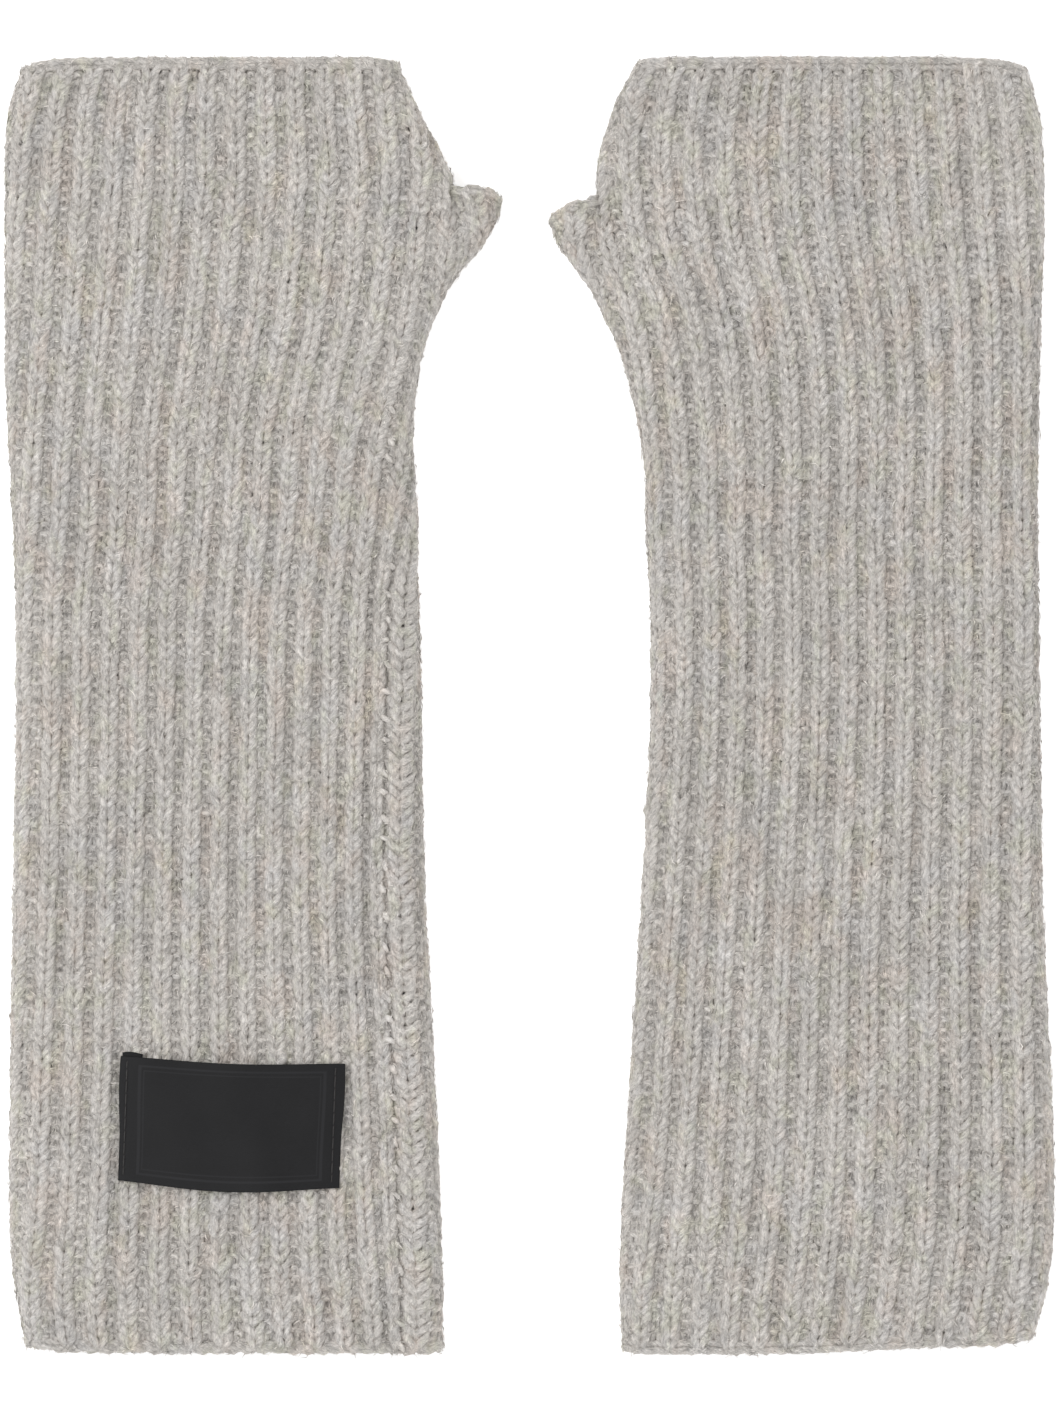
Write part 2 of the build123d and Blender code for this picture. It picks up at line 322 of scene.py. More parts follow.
    def section(self, y, with_thumb):
        """The top half of the section at a height, from the outer fold to the thumb-side fold: distances u,
        and heights h off the middle plane."""
        outer = np.interp(y, self.heights, self.outer_u)
        hand = np.interp(y, self.heights, self.inner_u)
        if with_thumb:
            edge = self.thumb_edge(y)
            edge = max(edge, hand) if y < self.crotch_y - 4 else edge
        else:
            flare = self.flare * (1 - smoothstep(self.crotch_y, self.crotch_y + FLARE_REACH, y))
            edge = min(hand + flare, self.crotch_u)
        r = self.radius
        u0, u1 = outer + self.fold_wall, edge - self.fold_wall
        arc = np.linspace(0, math.pi / 2, self.ARC_POINTS)
        flat = np.linspace(u0 + r, u1 - r, self.FLAT_POINTS)[1:-1]
        u = np.concatenate([u0 + r * (1 - np.cos(arc)), flat, u1 - r * (1 - np.cos(arc[::-1]))])
        h = np.concatenate([r * np.sin(arc), np.full(len(flat), r), r * np.sin(arc[::-1])])
        if with_thumb:
            thin = smoothstep(self.crotch_u - 8, self.tip_u, u)
            thin = thin * smoothstep(self.crotch_y - THUMB_THINS, self.crotch_y, y)
            h = h * (1 - thin * (1 - self.thumb_radius / self.radius))
            pinch = smoothstep(self.crotch_y - PINCH_REACH, self.crotch_y - 1, y)
            reach = np.clip(np.abs(u - (self.crotch_u - self.wall)) / r, 0, 1)
            h = h * (1 - pinch * (1 - np.sqrt(1 - (1 - reach) ** 2)))
        return u, h

    def fold_wales(self, y):
        """The wales at the outer fold and at the thumb-side fold."""
        spread = np.arange(-10, 10.1, 2.5)  # a mean over these heights rounds the corners of the rib lines
        outer = np.interp(y + spread, self.ribs[:, 0], self.ribs[:, 1]).mean()
        inner = np.interp(y + spread, self.ribs[:, 0], self.ribs[:, 2]).mean()
        return outer, inner

    def wale_places(self, wales, arcs, u, y, with_thumb):
        """How far along the half section each wale lies, and which wales are on the underside."""
        outer, inner = self.fold_wales(y)
        whole, ring = arcs[-1], RING_WALES
        if not with_thumb:
            inner = CROTCH_WALE - self.past_fold * max(0.0, y - self.crotch_y)
            ring -= THUMB_WALES
            wales = wales - THUMB_WALES
        turns = outer + (wales - outer) % ring
        under = turns > inner
        gather = OUTER_GATHER * (1 - smoothstep(*GATHER_ENDS, y))

        def on_top(wale):
            share = np.clip((wale - outer) / (inner - outer), 0, 1)
            return whole * share * (1 + gather * (1 - share))

        def below(wale):
            return whole * (1 - np.clip((wale - inner) / (outer + ring - inner), 0, 1))

        top, low = on_top(turns), below(turns)
        if with_thumb:
            crotch = np.interp(self.crotch_u - self.wall, u, arcs)
            fade = smoothstep(self.crotch_y - 26, self.crotch_y - 3, y)
            top_knots = [outer, CROTCH_WALE, max(inner, CROTCH_WALE + 1)]
            low_knots = [min(inner, MOUTH_END - 1), MOUTH_END, outer + RING_WALES]
            top = top + (np.interp(turns, top_knots, [0, crotch, whole]) - top) * fade
            low = low + (np.interp(turns, low_knots, [whole, crotch, 0]) - low) * fade
        if with_thumb and self.seam_on_top:
            seam = np.interp(np.interp(y, self.seam[:, 1], self.seam[:, 0]), u, arcs)
            fade = 1 - smoothstep(*SPREAD_ENDS, y)
            half, spread_end = 1 - KNIT_WIDE / 2, SEAM_WALE + 1 + KNIT_WIDE / 2
            first, last = SEAM_WALE - 2, max(inner, spread_end + 0.3)
            wide_end = min(seam + SEAM_GROOVE / 2 + SPREAD_WIDE, whole - 0.8)
            at_wales = [first, SEAM_WALE - half, SEAM_WALE + half, spread_end, last]
            at = [on_top(first), seam - SEAM_GROOVE / 2, seam + SEAM_GROOVE / 2, wide_end, whole]
            spread = np.interp(turns, at_wales, at)
            top = np.where(turns > first, top + (spread - top) * fade, top)
        return np.where(under, low, top), under

    def net(self, with_thumb):
        """Places over the sleeve and outward directions: one line of points per row of stitches."""
        if with_thumb:
            wales = np.arange(0, RING_WALES * NET_POINTS + 1) / NET_POINTS
        else:
            wales = MOUTH_END + np.arange(0, (RING_WALES - THUMB_WALES) * NET_POINTS + 1) / NET_POINTS
        lines = []
        for row in range(-1, self.rows + 4):
            y = self.row_y(row)
            u, h = self.section(y, with_thumb)
            arcs = np.concatenate([[0], np.cumsum(np.hypot(np.diff(u), np.diff(h)))])
            at, under = self.wale_places(wales, arcs, u, y, with_thumb)
            su, sh = np.interp(at, arcs, u), np.interp(at, arcs, h)
            wavy = 1 + self.uneven(su, y) * WAVY / self.radius * ~under
            height = self.top_z / 2 + np.where(under, -sh, sh * wavy)
            lines.append(np.stack([su, np.full(len(su), y), height], 1))
        net = np.array(lines)
        if with_thumb:
            net[..., 1] -= self.drop(net[..., 0], net[..., 1])
            wide = np.concatenate([net[:, -2:-1], net, net[:, 1:2]], 1)
        else:
            wide = np.concatenate([net[:, :1], net, net[:, -1:]], 1)
        for points in (net, wide):
            points[..., 1] += self.end_shift(points[..., 0], points[..., 1])
        net[..., 0] = self.side * (self.half - net[..., 0])
        wide[..., 0] = self.side * (self.half - wide[..., 0])
        across = wide[:, 2:] - wide[:, :-2]
        normal = unit(np.cross(across, np.gradient(net, axis=0)))
        middle = np.array([0, 0, self.top_z / 2])
        return net, normal * np.sign(((net - middle)[..., 2] * normal[..., 2]).sum())

    def at(self, upper, wale, row):
        """Places and outward directions at fractional wales and rows."""
        net, normal = self.upper if upper else self.lower
        if upper:
            col = np.clip((wale - MOUTH_END) * NET_POINTS, 0, net.shape[1] - 1.001)
        else:
            col = (wale % RING_WALES) * NET_POINTS
        line = np.clip(row + 1, 0, net.shape[0] - 1.001)
        c0, l0 = col.astype(int), line.astype(int)
        fc, fl = (col - c0)[..., None], (line - l0)[..., None]
        out = []
        for a in (net, normal):
            near = a[l0, c0] * (1 - fc) + a[l0, c0 + 1] * fc
            far = a[l0 + 1, c0] * (1 - fc) + a[l0 + 1, c0 + 1] * fc
            out.append(near * (1 - fl) + far * fl)
        return out[0], unit(out[1])


# ---------------- yarn

def column_edges(first, last):
    """The starts and widths of the stitch columns between two wales, and which of them are knit."""
    middle = np.arange(math.floor(first) - 1, math.ceil(last) + 2)
    knit = middle % 2 == 1
    width = np.where(knit, KNIT_WIDE, 2 - KNIT_WIDE)
    start = middle - width / 2
    inside = (start >= first - 0.01) & (start + width <= last + 0.01)
    return start[inside], width[inside], knit[inside]


def loops(sleeve, upper, row, first, last, closed):
    """The path of one row's yarn through its stitches from one wale to another: places, outward directions,
    how much thicker than usual the yarn is, and its tone, which is painted highlight on the purl heads and
    painted shade on the purl legs."""
    start, width, knit = column_edges(first, last)
    t = np.linspace(-math.pi, math.pi, LOOP_STEPS, endpoint=False)
    jitter = rng.normal(size=(5, len(start), 1)) * UNEVEN
    level = np.full(len(start), row + 1.0)
    ends = [sleeve.at(upper, start + width * share, level)[0] for share in (0.1, 0.9)]
    spread = np.linalg.norm(ends[1] - ends[0], axis=1) / (0.8 * width * WALE_PITCH)
    spread = np.clip(spread, 0.7, 1.9)[:, None]
    lean = LOOP_LEAN / WALE_PITCH * np.where(knit, 1.0, 0.5)[:, None] * (1 + jitter[0] * 2) * spread ** 0.2
    wale = start[:, None] + width[:, None] * (t / (2 * math.pi) + 0.5) + lean * np.sin(2 * t)
    wale = wale + jitter[1] * 0.5 * np.cos(t / 2)
    rise = row + 1 + LOOP_RISE * (1 + jitter[2]) * np.cos(t)
    depth = np.where(knit, 1.0, -1.0)[:, None] * LOOP_DEPTH * (1 - np.cos(2 * t)) * (1 + jitter[3] * 3)
    swell = (1 + YARN_SWELL * (0.2 - np.cos(2 * t))) * (1 + jitter[4] * 0.8) * spread ** 0.35
    # painted highlight and shade: purl heads are coloured paler where they lie in front, purl legs darker
    # behind
    purl_painted_light = PURL_HEAD_PAINTED_LIGHT + (PURL_LEG_PAINTED_SHADE - PURL_HEAD_PAINTED_LIGHT) * np.sin(t) ** 2 * (1 + jitter[3] * 4)
    tone = np.where(knit[:, None], 0.0, purl_painted_light).ravel()
    wale, rise, depth, swell = wale.ravel(), rise.ravel(), depth.ravel(), swell.ravel()
    if not closed:
        wale = np.append(wale, start[-1] + width[-1])
        rise = np.append(rise, row + 1 - LOOP_RISE)
        depth = np.append(depth, 0)
        swell = np.append(swell, 1)
        tone = np.append(tone, 0)
    place, outward = sleeve.at(upper, wale, rise)
    depth = depth * (FOLD_PRESS + (1 - FOLD_PRESS) * np.abs(outward[:, 2]))
    return place + outward * depth[:, None], outward, swell, tone


class Strands:
    """Collects tubes of yarn and loose fibres, and makes one mesh of them. Each point holds what the wool
    material reads: its length along the yarn, its place round the yarn's twist, and its tone, which is
    painted highlight and painted shade on the purl loops and a random tone on the fibres."""

    TWIST = 0.55  # radians per millimetre

    def __init__(self):
        self.points, self.faces = [], {3: [], 4: [], YARN_SIDES: []}
        self.yarn, self.tone, self.uv_rows, self.paths = [], [], [], []
        self.count = self.fibres = 0

    def frames(self, path, outward, closed):
        if closed:
            along = unit(np.roll(path, -1, 0) - np.roll(path, 1, 0))
        else:
            along = unit(np.gradient(path, axis=0))
        across = unit(np.cross(along, outward))
        return along, across, np.cross(across, along)

    def add(self, path, outward, closed, swell, wide=YARN_WIDE, deep=YARN_DEEP, tone=0.0):
        along, across, deepwards = self.frames(path, outward, closed)
        sides = YARN_SIDES
        angle = np.arange(sides) * 2 * math.pi / sides
        swell = np.broadcast_to(swell, len(path))[:, None] * (1 + rng.normal(0, LUMPY, (len(path), sides)))
        ring = across[:, None] * (np.cos(angle) * wide * swell)[..., None]
        ring = ring + deepwards[:, None] * (np.sin(angle) * deep * swell)[..., None]
        steps = len(path)
        index = self.count + np.arange(steps * sides).reshape(steps, sides)
        here, following = (index, np.roll(index, -1, 0)) if closed else (index[:-1], index[1:])
        quads = np.stack([here, np.roll(here, -1, 1), np.roll(following, -1, 1), following], -1)
        self.faces[4].append(quads.reshape(-1, 4))
        self.uv_rows.append(len(here))
        if not closed:
            self.faces[sides].append(np.stack([index[0][::-1], index[-1]]))
        length = np.concatenate([[0], np.cumsum(np.linalg.norm(np.diff(path, axis=0), axis=1))])
        spin = angle[None] + length[:, None] * self.TWIST
        shift = rng.uniform(0, 400)
        run = np.broadcast_to(length[:, None] + shift, spin.shape)
        self.points.append((path[:, None] + ring).reshape(-1, 3))
        self.yarn.append(np.stack([run, np.cos(spin) * wide, np.sin(spin) * wide], -1).reshape(-1, 3))
        self.tone.append(np.repeat(np.broadcast_to(tone, steps), sides))
        self.count += steps * sides
        self.paths.append((path, outward, along, across, deepwards))

    def add_fibres(self, count):
        """Short loose fibres over the yarn's outer side, each a bent closed spindle of three sides."""
        pick = rng.integers(0, sum(len(paths[0]) for paths in self.paths), count)
        path, outward, along, across, deepwards = (np.concatenate(part)[pick] for part in zip(*self.paths))
        turn = rng.normal(0, 0.75, count)[:, None]
        root = path + across * np.sin(turn) * YARN_WIDE + deepwards * np.cos(turn) * YARN_DEEP
        side = np.cross(along, outward)
        heading = rng.normal(0, 0.7, count)[:, None]
        flip = rng.choice([-1.0, 1.0], count)[:, None]
        forward = unit(along * np.cos(heading) * flip + side * np.sin(heading))
        sideways = unit(np.cross(forward, outward))
        length = FIBRE_LENGTH * np.exp(rng.normal(0, 0.35, count))[:, None]
        bow = rng.normal(0, 0.12, count)[:, None] * length
        lift = np.abs(rng.normal(0, 0.2, count))[:, None] + 0.04
        start, middle, end = (
            root + forward * length * (share - 0.45) + sideways * bow * (share == 0.5)
            + outward * (high * lift)
            for share, high in ((0.0, -0.3), (0.5, 1.0), (1.0, 0.5))
        )
        thick = FIBRE_RADIUS * np.exp(rng.normal(0, 0.25, count))[:, None]
        corners = [start]
        for angle in (0.3, 2.4, 4.5):
            corners.append(middle + sideways * math.cos(angle) * thick + outward * math.sin(angle) * thick)
        corners.append(end)
        points = np.stack(corners, 1)
        first = self.count + np.arange(count)[:, None] * 5
        sides = []
        for k in range(3):
            n = (k + 1) % 3
            sides += [first + [0, 1 + n, 1 + k], first + [4, 1 + k, 1 + n]]
        self.faces[3].append(np.stack(sides, 1).reshape(-1, 3))
        self.points.append(points.reshape(-1, 3))
        spot = np.stack([rng.uniform(0, 400, count), rng.normal(0, 1, count), rng.normal(0, 1, count)], 1)
        self.yarn.append(np.repeat(spot, 5, 0))
        self.tone.append(np.repeat(rng.normal(FIBRE_PALER, FIBRE_TONES, count), 5))
        self.count += count * 5
        self.fibres += count

    def mesh(self, name):
        mesh = bpy.data.meshes.new(name)
        points = np.concatenate(self.points)
        under = FLAT_BELOW - points[:, 2]
        points[:, 2] = np.where(under > 0, FLAT_BELOW * (1 - np.tanh(under)), points[:, 2])
        points *= MM
        mesh.vertices.add(len(points))
        mesh.vertices.foreach_set("co", points.ravel())
        corners, sizes = [], []
        for size, faces in sorted(self.faces.items()):
            if faces:
                faces = np.concatenate(faces)
                corners.append(faces.ravel())
                sizes.append(np.full(len(faces), size))
        corners, sizes = np.concatenate(corners), np.concatenate(sizes)
        mesh.loops.add(len(corners))
        mesh.loops.foreach_set("vertex_index", corners.astype(np.int32))
        mesh.polygons.add(len(sizes))
        starts = np.concatenate([[0], np.cumsum(sizes)[:-1]])
        mesh.polygons.foreach_set("loop_start", starts.astype(np.int32))
        mesh.polygons.foreach_set("loop_total", sizes.astype(np.int32))
        mesh.polygons.foreach_set("use_smooth", np.ones(len(sizes), bool))
        mesh.update()
        store(mesh, "yarn", np.concatenate(self.yarn))
        store(mesh, "tone", np.concatenate(self.tone))
        self.unwrap(mesh, len(corners))
        return mesh

    def unwrap(self, mesh, corners):
        """Lays the yarn out as strips, and each fibre in a small cell below them."""
        layer = mesh.uv_layers.new(name="OFBake")
        share = 0.3 if self.fibres else 0.02
        uv = []
        if self.fibres:
            cells = math.ceil(math.sqrt(self.fibres / share * 1.6))
            number = np.arange(self.fibres)
            corner = np.stack([number % cells, number // cells * 1.6], 1) / cells
            tip, left, right, end = np.array([(0.1, 0.7), (0.5, 0.4), (0.5, 1.0), (0.9, 0.7)]) / cells
            tri = np.stack([corner + p for p in (tip, left, right, end, right, left)], 1)
            uv.append(np.tile(tri, (1, 3, 1)).reshape(-1, 2))
        total = sum(self.uv_rows)
        strips = max(1, int(math.sqrt(total / 9)))
        per_strip = math.ceil(total / strips)
        place = np.arange(total)
        line, column = place // per_strip, place % per_strip
        lines = line.max() + 1
        sides = YARN_SIDES
        edge = np.tile(np.arange(sides), total)
        u0, u1 = np.repeat(column / per_strip, sides), np.repeat((column + 1) / per_strip, sides)
        v0 = (np.repeat(line, sides) + 0.04 + 0.92 * edge / sides) / lines
        v1 = (np.repeat(line, sides) + 0.04 + 0.92 * (edge + 1) / sides) / lines
        v0, v1 = share + (1 - share) * v0, share + (1 - share) * v1
        quads = np.stack([np.stack(spot, 1) for spot in ((u0, v0), (u0, v1), (u1, v1), (u1, v0))], 1)
        uv.append(quads.reshape(-1, 2))
        flat = np.concatenate(uv)
        rest = np.full((corners - len(flat), 2), 0.001)
        layer.data.foreach_set("uv", np.concatenate([flat, rest]).astype(np.float32).ravel())


def store(mesh, name, values):
    """Keeps a number, or a vector, for each point of a mesh."""
    kind, field = ("FLOAT", "value") if values.ndim == 1 else ("FLOAT_VECTOR", "vector")
    attribute = mesh.attributes.new(name, kind, "POINT")
    attribute.data.foreach_set(field, values.astype(np.float32).ravel())


def add_piece(name, mesh, material):
    piece = bpy.data.objects.new(name, mesh)
    mesh.materials.append(material)
    bpy.context.scene.collection.objects.link(piece)
    return piece


# ---------------- materials

def node_tree(name):
    material = bpy.data.materials.new(name)
    material.use_nodes = True
    tree = material.node_tree
    return material, tree, tree.nodes["Principled BSDF"]


def mix_colours(tree, factor, a, b, blend="MIX"):
    node = tree.nodes.new("ShaderNodeMix")
    node.data_type, node.blend_type = "RGBA", blend
    for socket, value in ((node.inputs[0], factor), (node.inputs[6], a), (node.inputs[7], b)):
        if hasattr(value, "is_linked"):
            tree.links.new(value, socket)
        else:
            socket.default_value = value
    return node.outputs[2]


def set_inputs(node, values):
    for name, value in values.items():
        node.inputs[name].default_value = value


def scaled(tree, vector, scale):
    mapping = tree.nodes.new("ShaderNodeMapping")
    set_inputs(mapping, {"Scale": scale})
    tree.links.new(vector, mapping.inputs["Vector"])
    return mapping.outputs[0]


def noise(tree, vector, stretch, detail, rough):
    node = tree.nodes.new("ShaderNodeTexNoise")
    set_inputs(node, {"Scale": 1.0, "Detail": detail, "Roughness": rough})
    tree.links.new(scaled(tree, vector, stretch), node.inputs["Vector"])
    return node.outputs["Fac"]


def ramp(tree, value, low, high, out_low=0.0, out_high=1.0):
    node = tree.nodes.new("ShaderNodeMapRange")
    set_inputs(node, {"From Min": low, "From Max": high, "To Min": out_low, "To Max": out_high})
    tree.links.new(value, node.inputs["Value"])
    return node.outputs[0]


def grey(value):
    """A warm grey of the heathered wool."""
    return (value * 1.05, value, value * 0.945, 1)


def multiplied(tree, colour, share, low, high):
    """The colour times a shade between two levels of grey."""
    shade = mix_colours(tree, share, (low, low, low, 1), (high, high, high, 1))
    return mix_colours(tree, 1.0, colour, shade, "MULTIPLY")


def attribute(tree, name, output):
    node = tree.nodes.new("ShaderNodeAttribute")
    node.attribute_name = name
    return node.outputs[output]


def in_millimetres(tree):
    """Object coordinates in millimetres."""
    return scaled(tree, tree.nodes.new("ShaderNodeTexCoord").outputs["Object"], (1 / MM, 1 / MM, 1 / MM))


def bump(tree, bsdf, height, strength, depth):
    node = tree.nodes.new("ShaderNodeBump")
    set_inputs(node, {"Strength": strength, "Distance": depth * MM})
    tree.links.new(height, node.inputs["Height"])
    tree.links.new(node.outputs[0], bsdf.inputs["Normal"])


def wool(name, dark, mid, light):
    """Heathered wool: fibres of several greys along the yarn's twist, slow changes of tone and tint, and the
    painted highlight and painted shade that the purl loops carry in their tone.
    """
    material, tree, bsdf = node_tree(name)
    yarn = attribute(tree, "yarn", "Vector")
    place = in_millimetres(tree)
    fibre = noise(tree, yarn, (0.6, 2.8, 2.8), 4, 0.75)
    stretch = noise(tree, yarn, (0.12, 0.5, 0.5), 3, 0.6)
    speck = noise(tree, place, (0.9, 0.55, 0.9), 3, 0.65)
    patch = noise(tree, place, (0.13, 0.035, 0.13), 3, 0.6)
    colour = mix_colours(tree, ramp(tree, fibre, 0.355, 0.645), dark, light)
    colour = mix_colours(tree, ramp(tree, stretch, 0.35, 0.65, 0.0, 0.35), colour, mid)
    colour = multiplied(tree, colour, ramp(tree, speck, 0.34, 0.66), 0.86, 1.13)
    # painted highlight and shade of the purl loops, and the fibres' own random tones
    colour = multiplied(tree, colour, ramp(tree, attribute(tree, "tone", "Fac"), -1, 1), 0.62, 1.38)
    colour = multiplied(tree, colour, ramp(tree, patch, 0.36, 0.64), 0.94, 1.05)
    tints = (
        ((0.14, 0.07, 0.14), (1.05, 0.985, 0.945, 1)),
        ((0.22, 0.13, 0.22), (0.985, 1.012, 0.915, 1)),
        ((0.11, 0.08, 0.11), (0.98, 1.0, 1.035, 1)),
    )
    for scale, tint in tints:
        tinted = mix_colours(tree, 1.0, colour, tint, "MULTIPLY")
        share = ramp(tree, noise(tree, place, scale, 2, 0.6), 0.52, 0.68, 0.0, 0.7)
        colour = mix_colours(tree, share, colour, tinted)
    tree.links.new(colour, bsdf.inputs["Base Color"])
    set_inputs(bsdf, {"Roughness": 0.95, "Specular IOR Level": 0.1})
    set_inputs(bsdf, {"Sheen Weight": 0.7, "Sheen Roughness": 0.5, "Sheen Tint": mid})
    bump(tree, bsdf, fibre, 0.8, 0.4)
    return material


def satin(name, colour, frame_lines=None):
    """Woven satin: fine floats along one way, and for the sewn label a plain woven frame, tone on tone."""
    material, tree, bsdf = node_tree(name)
    place = in_millimetres(tree)
    threads = noise(tree, place, (1.2, 9.0, 9.0), 2, 0.5)
    cloudy = noise(tree, place, (0.12, 0.12, 0.12), 2, 0.5)
    dark, light = (tuple(c * k for c in colour) + (1,) for k in (0.8, 1.25))
    shade = mix_colours(tree, ramp(tree, threads, 0.35, 0.65), dark, light)
    shade = multiplied(tree, shade, ramp(tree, cloudy, 0.3, 0.7), 0.88, 1.1)
    if frame_lines:
        shade = mix_colours(tree, attribute(tree, "frame_line", "Fac"), shade, frame_lines)
    tree.links.new(shade, bsdf.inputs["Base Color"])
    tree.links.new(ramp(tree, threads, 0.3, 0.7, 0.42, 0.58), bsdf.inputs["Roughness"])
    set_inputs(bsdf, {"Specular IOR Level": 0.22})
    bump(tree, bsdf, threads, 0.5, 0.12)
    return material


def thread_material(name, colour):
    """Sewing thread: two plies twisted together."""
    material, tree, bsdf = node_tree(name)
    plies = noise(tree, attribute(tree, "yarn", "Vector"), (3.0, 6.0, 6.0), 2, 0.5)
    dark, light = (tuple(c * k for c in colour) + (1,) for k in (0.6, 1.5))
    tree.links.new(mix_colours(tree, ramp(tree, plies, 0.35, 0.65), dark, light), bsdf.inputs["Base Color"])
    set_inputs(bsdf, {"Roughness": 0.55})
    bump(tree, bsdf, plies, 0.6, 0.1)
    return material


WOOL = wool("melange_wool", grey(0.34), grey(0.56), grey(0.82))
SEAM_WOOL = wool("pale_wool", grey(0.55), grey(0.70), grey(0.88))
LABEL_SATIN = satin("black_satin", (0.0082, 0.0082, 0.0092), (0.016, 0.016, 0.018, 1))
CARE_SATIN = satin("white_satin", (0.78, 0.77, 0.74))
THREAD = thread_material("black_thread", (0.022, 0.020, 0.020))


# ---------------- the knitted pieces

FOLD_SPREAD = 26.0  # the length of sleeve above the wrist's fold whose rows make one piece with the rows at the fold
BAND_ROWS = 11  # rows of stitches in one piece
RING_FIRST = 1 - KNIT_WIDE / 2  # a column edge, where the yarn of each whole round starts
THUMB_START = CROTCH_WALE - 2 - KNIT_WIDE  # the wales between which the lower rows belong to the thumb piece
THUMB_END = MOUTH_END + 4 - KNIT_WIDE


def joint_place(name):
    """A joint's place in millimetres."""
    return next(np.array(joint["pos_m"]) / MM for joint in frame["joints"] if joint["name"] == name)


def blend_wrist(piece):
    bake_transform(piece)


def blend_thumb(piece):
    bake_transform(piece)


def knit_piece(sleeve, name, spans):
    """One piece of knit: rows of yarn, each from one wale to another."""
    strands = Strands()
    wales = 0
    for upper, row, first, last, closed in spans:
        path, outward, swell, tone = loops(sleeve, upper, row, first, last, closed)
        strands.add(path, outward, closed, swell, tone=tone)
        wales += last - first
    strands.add_fibres(int(wales * FIBRES_PER_WALE_ROW))
    return add_piece(f"{sleeve.name}_{name}", strands.mesh(name), WOOL)


def build_knit(sleeve):
    """The sleeve in bands of rows, one piece of the rows about the wrist's fold, and the thumb. The bands of
    the forearm and the hand, and the thumb, stand for the CAD sections they lie in.
    """
    fold_y = joint_place(f"{sleeve.name}_wrist_fold")[1]
    wrist_first = int((fold_y - sleeve.row_y(2) - YARN_WIDE) / sleeve.row_height) + 1
    wrist_last = int(math.ceil((fold_y + FOLD_SPREAD + YARN_WIDE - sleeve.row_y(0)) / sleeve.row_height))
    thumb_first = sleeve.crotch_row - BAND_ROWS

    def spans(rows):
        made = []
        for row in rows:
            if row >= sleeve.crotch_row:
                made.append((True, row, MOUTH_END, CROTCH_WALE + RING_WALES, False))
            elif row >= thumb_first:
                made.append((False, row, THUMB_END, THUMB_START + RING_WALES, False))
            else:
                made.append((False, row, RING_FIRST, RING_FIRST + RING_WALES, True))
        return made

    def bands(section, first, end):
        body = f"{sleeve.name}_{section}"
        for number, start in enumerate(range(first, end, BAND_ROWS)):
            rows = range(start, min(start + BAND_ROWS, end))
            piece = knit_piece(sleeve, f"{section}_knit_{number + 1}", spans(rows))
            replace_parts(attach(piece, body), f"{body}_knit")

    bands("forearm", 0, wrist_first)
    blend_wrist(knit_piece(sleeve, "wrist_knit", spans(range(wrist_first, wrist_last))))
    bands("hand", wrist_last, sleeve.rows)
    thumb_rows = range(thumb_first, sleeve.crotch_row)
    thumb_spans = [(False, row, THUMB_START, THUMB_END, False) for row in thumb_rows]
    piece = knit_piece(sleeve, "thumb_knit", thumb_spans)
    blend_thumb(piece)
    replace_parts(piece, f"{sleeve.name}_thumb_knit")


# ---------------- rims and seams

RIM_RADIUS = 0.95
RIM_STEPS = 8  # points along a strand, and fibres on it, per wale
# Each rim is a few strands of yarn. They lie so far out from the middle of the cloth, and so many rows up.
CUFF_STRANDS = ((0.45, 0.05), (0.2, 0.42), (-0.2, 0.42), (-0.45, 0.05))
FINGER_STRANDS = ((0.6, 0.0), (0.5, -0.45), (0.0, 0.05), (-0.5, -0.45), (-0.6, 0.0))
MOUTH_STRANDS = ((0.6, 0.0), (0.0, 0.15), (-0.5, 0.1), (0.0, -0.4))
CUFF_ROW = 0.25
FINGER_ROW = 0.93  # from the last row of the sleeve
MOUTH_ROW = 0.55  # from the last row of the thumb
MOUTH_LAP = 0.3  # wales of knit that its rim laps over at each end


def rim(sleeve, name, upper, first, last, closed, row, places):
    """The strands of yarn along an edge of the knit."""
    strands = Strands()
    steps = int((last - first) * RIM_STEPS)
    wale = np.linspace(first, last, steps, endpoint=not closed)
    for depth, rise in places:
        sway = np.cumsum(rng.normal(0, 0.012, steps))
        sway -= np.linspace(0, sway[-1], steps)
        path, outward = sleeve.at(upper, wale, row + rise + 0.04 * np.cos(wale * math.pi * 2) + sway * 0.6)
        path = path + outward * (depth + 0.1 * np.sin(wale * math.pi))[:, None]
        strands.add(path, outward, closed, 1.0, RIM_RADIUS, RIM_RADIUS)
    strands.add_fibres(int((last - first) * RIM_STEPS * len(places)))
    return add_piece(f"{sleeve.name}_{name}", strands.mesh(name), WOOL)


def build_rims(sleeve):
    """The cast-on edge at the cuff, the bound-off edge at the fingers, and the rim of the thumb's mouth."""
    ring = (False, RING_FIRST, RING_FIRST + RING_WALES, True)
    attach(rim(sleeve, "cuff_rim", *ring, CUFF_ROW, CUFF_STRANDS), f"{sleeve.name}_forearm")
    ring = (True, MOUTH_END, CROTCH_WALE + RING_WALES, False)
    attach(rim(sleeve, "finger_rim", *ring, sleeve.rows + FINGER_ROW, FINGER_STRANDS), f"{sleeve.name}_hand")
    mouth = (False, CROTCH_WALE - MOUTH_LAP, MOUTH_END + MOUTH_LAP, False)
    blend_thumb(rim(sleeve, "thumb_rim", *mouth, sleeve.crotch_row + MOUTH_ROW, MOUTH_STRANDS))


SEAM_STITCH = 2.4  # length of the part of a seam stitch that shows
SEAM_YARN_RADIUS = 0.5
SEAM_STANDS = 0.45  # how far a stitch's middle stands above the bar's own middle
SEAM_DIVES = 1.9  # and how far its ends dive from there
SEAM_SLOPE = (50, 22)  # degrees, and how much it varies
SEAM_FIBRES = 14


